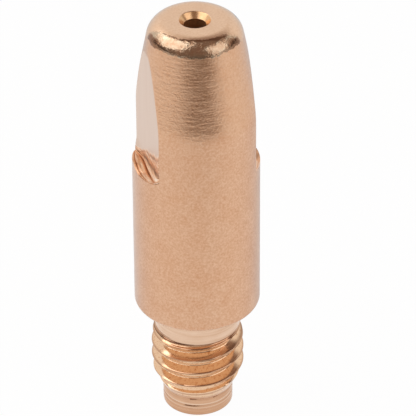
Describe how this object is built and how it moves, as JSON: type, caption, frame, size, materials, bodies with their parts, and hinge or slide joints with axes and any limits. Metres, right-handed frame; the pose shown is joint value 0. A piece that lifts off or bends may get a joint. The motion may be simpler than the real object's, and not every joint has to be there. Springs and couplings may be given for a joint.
{
  "type": "welding contact tip",
  "caption": "Turned copper contact tip for a wire-feed welding torch: threaded stem, shouldered round body, tapered nose with spanner flats and a through bore for the wire.",
  "frame": {"origin": "centre of the threaded stem's end face, on which the tip stands", "axes": "+Z along the wire bore towards the nose, X square to the spanner flats"},
  "size_m": [0.008, 0.008, 0.0286],
  "materials": {
    "copper": "satin"
  },
  "bodies": {
    "root": {"contact_tip": "copper"}
  },
  "joints": []
}
